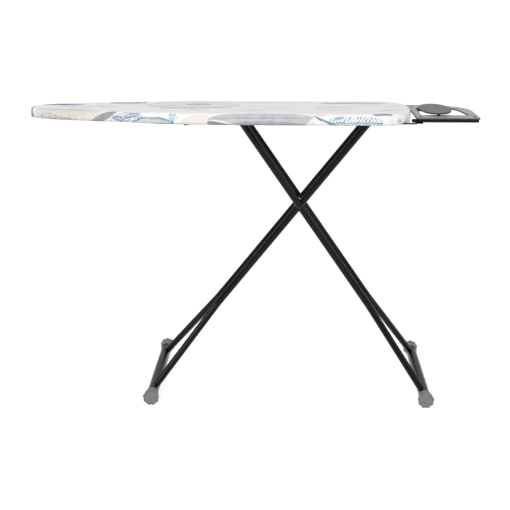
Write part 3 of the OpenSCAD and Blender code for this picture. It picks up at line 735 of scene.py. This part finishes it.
def make_cap(node, foot_tube, body, material):
    """A soft lobed foot cap with a bell-shaped collar."""
    low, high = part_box(foot_tube)
    x = (low.x + high.x) / 2
    z = (low.z + high.z) / 2
    side = 1 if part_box(node)[1].y > 0 else -1
    count = 144
    angle = np.arange(count) * TURN / count
    notch = CAP_LOBE_DEPTH * (1 - np.cos(CAP_LOBES * (angle - math.radians(180 / CAP_LOBES))))
    vertices = []
    for along, radius, share in CAP_PROFILE:
        r = np.maximum(radius - share * notch, 0) * MM
        ring = [x + r * np.sin(angle), np.full(count, side * along * MM), z - r * np.cos(angle)]
        vertices.append(np.column_stack(ring))
    faces = ring_faces(len(CAP_PROFILE), count)
    piece = new_piece(node + "_moulding", np.concatenate(vertices), faces, body,
                      material)
    merge_close(piece)
    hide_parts(node)
    return piece


def make_heat_pad(material, side_material):
    """The long oval pad for the hot iron, crowned, with a shallow groove near its edge."""
    low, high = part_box("rest_pad")
    middle_x = (low.x + high.x) / 2
    half_x = (high.x - low.x) / 2
    half_y = high.y
    thick = high.z - low.z
    count = 160
    angle = np.arange(count) * TURN / count
    power = 2 / 2.15
    unit = np.stack([np.sign(np.cos(angle)) * np.abs(np.cos(angle)) ** power * half_x,
                     np.sign(np.sin(angle)) * np.abs(np.sin(angle)) ** power * half_y], 1)
    length = np.linalg.norm(unit, axis=1, keepdims=True)
    profile = [(30, -1.0), (1.4, -1.0), (0.5, -0.9), (0.0, -0.72), (0.0, -0.30), (0.3, -0.14),
               (1.1, -0.03), (2.0, 0.0), (5.4, 0.0), (5.9, -0.10), (6.9, -0.10), (7.4, 0.0),
               (14, 0.0), (24, 0.0)]
    vertices = []
    for inset, level in profile:
        place = unit * (1 - inset * MM / length)
        vertices.append(np.column_stack([middle_x + place[:, 0], place[:, 1],
                                         np.full(count, high.z + level * thick)]))
    faces = ring_faces(len(profile), count)
    faces.append(tuple(range(count))[::-1])
    last = (len(profile) - 1) * count
    faces.append(tuple(range(last, last + count)))
    piece = new_piece("heat_pad", np.concatenate(vertices), faces, "board", material)
    piece.data.materials.append(side_material)
    merge_close(piece)
    # Painted shade: the pad's side gets the black plastic, standing for the shade along the pad's
    # thickness.
    for face in piece.data.polygons:
        face.material_index = int(face.center.z < high.z - 0.2 * thick)
    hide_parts("rest_pad")
    return piece


def top_outlines(name):
    """The closed outlines of a CAD node's flat top, longest first, as X and Y points."""
    mesh = NODES[name].data
    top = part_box(name)[1].z
    key = {v.index: (round(v.co.x, 5), round(v.co.y, 5)) for v in mesh.vertices
           if abs(v.co.z - top) < 1e-5}
    ahead = {}
    for face in mesh.polygons:
        if all(v in key for v in face.vertices) and face.normal.z > 0.9:
            corners = [key[v] for v in face.vertices]
            for a, b in zip(corners, corners[1:] + corners[:1]):
                ahead.setdefault(a, set()).add(b)
    edges = {a: [b for b in after if a not in ahead.get(b, ())] for a, after in ahead.items()}
    loops = []
    while any(edges.values()):
        start = point = next(a for a, after in edges.items() if after)
        loop = []
        while edges.get(point):
            loop.append(point)
            point = edges[point].pop()
            if point == start:
                break
        loops.append(np.array(loop))
    length = [np.linalg.norm(np.roll(loop, -1, 0) - loop, axis=1).sum() for loop in loops]
    return [loops[i] for i in np.argsort(length)[::-1]]


def even(loop, step):
    """A closed outline cut into even steps and slightly smoothed."""
    closed = np.concatenate([loop, loop[:1]])
    run = np.concatenate([[0], np.cumsum(np.linalg.norm(np.diff(closed, axis=0), axis=1))])
    count = int(run[-1] / step)
    at = np.arange(count) * run[-1] / count
    points = np.stack([np.interp(at, run, closed[:, 0]), np.interp(at, run, closed[:, 1])], 1)
    for _ in range(3):
        points = (points + 0.5 * (np.roll(points, 1, 0) + np.roll(points, -1, 0))) / 2
    return points


def make_bead(name, loop, offset, z, radius, material):
    """A thin round bead that follows a closed outline at an offset to its outside."""
    points = even(loop, 0.003)
    along = np.roll(points, -1, 0) - np.roll(points, 1, 0)
    along /= np.linalg.norm(along, axis=1, keepdims=True)
    out = np.stack([along[:, 1], -along[:, 0]], 1)
    steps = 10
    vertices = []
    for k in range(steps):
        angle = TURN * k / steps
        place = points + out * (offset + radius * math.cos(angle))
        vertices.append(np.column_stack([place, np.full(len(points),
                                                        z + radius * math.sin(angle))]))
    faces = ring_faces(steps, len(points), closed=True)
    piece = new_piece(name, np.concatenate(vertices), faces, "board", material)
    merge_close(piece)
    return piece


# ---------- build ----------

def soften(name, width):
    """A small rounding on a CAD node's sharp edges, by modifiers."""
    weld = NODES[name].modifiers.new("joined", "WELD")
    weld.merge_threshold = SAME_PLACE
    bevel = NODES[name].modifiers.new("rounding", "BEVEL")
    bevel.width = width
    bevel.segments = 2
    bevel.limit_method = "ANGLE"
    bevel.angle_limit = math.radians(40)


make_camera()
make_stage()

black = painted_metal("black_paint", (0.0022, 0.0022, 0.0025), (0.005, 0.005, 0.005), 0.22,
                      Coat_Weight=0.08, Coat_Roughness=0.1, Specular_IOR_Level=0.16)
finishes = {
    "elastic": make_elastic(),
    "foam": make_foam(),
    "coated_steel": painted_metal("coated_steel", (0.46, 0.47, 0.48), (0.40, 0.40, 0.40), 0.42,
                                  grain=0.25),
    "zinc_steel": bare_metal("zinc_steel", (0.62, 0.62, 0.60), (0.48, 0.48, 0.47), 0.26),
    "black_paint": black,
    "tray_paint": painted_metal("tray_paint", (0.350, 0.342, 0.334), (0.290, 0.284, 0.278), 0.42,
                                grain=0.2),
    "heat_pad": moulded_plastic("heat_pad", (0.165, 0.165, 0.167), 0.60, 500, 0.4),
    "black_plastic": moulded_plastic("black_plastic", (0.012, 0.012, 0.013), 0.42),
    "black_screws": bare_metal("black_screws", (0.035, 0.035, 0.038), (0.02, 0.02, 0.022), 0.34),
    "grey_caps": moulded_plastic("grey_caps", (0.200, 0.203, 0.186), 0.50, 700, 0.3),
    "grey_plastic": moulded_plastic("grey_plastic", (0.045, 0.045, 0.047), 0.45),
    "nylon": moulded_plastic("nylon", (0.70, 0.69, 0.65), 0.38),
}
for node in NODES.values():
    slot = node.data.materials[0].name.split(".")[0]
    if slot in finishes:
        node.data.materials[0] = finishes[slot]

make_cover()
make_underlay(finishes["foam"])
make_hem_elastic(finishes["elastic"])
for leg in ("inner", "outer"):
    for side in ("near", "far"):
        make_cap(f"{leg}_cap_{side}", f"{leg}_foot_tube", f"{leg}_leg", finishes["grey_caps"])
make_heat_pad(finishes["heat_pad"], finishes["black_plastic"])
tray_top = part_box("rest_tray")[1].z
tray_edge, tray_window = top_outlines("rest_tray")[:2]
# Black beads along the tray's outer edge and its window: partly a black frame under the tray,
# partly painted shade standing for the shade under the tray's lip.
make_bead("tray_edge_bead", tray_edge, 0.0010, tray_top - 0.0026, 0.0021,
          finishes["black_plastic"])
make_bead("tray_window_bead", tray_window, 0.0004, tray_top - 0.0030, 0.0018,
          finishes["black_plastic"])
soften("rest_tray", 0.0007)
soften("pad_bridge", 0.0006)
soften("release_lever", 0.0005)
for side in ("near", "far"):
    soften(f"rest_strap_{side}", 0.0006)
    soften(f"hinge_bracket_{side}", 0.0006)
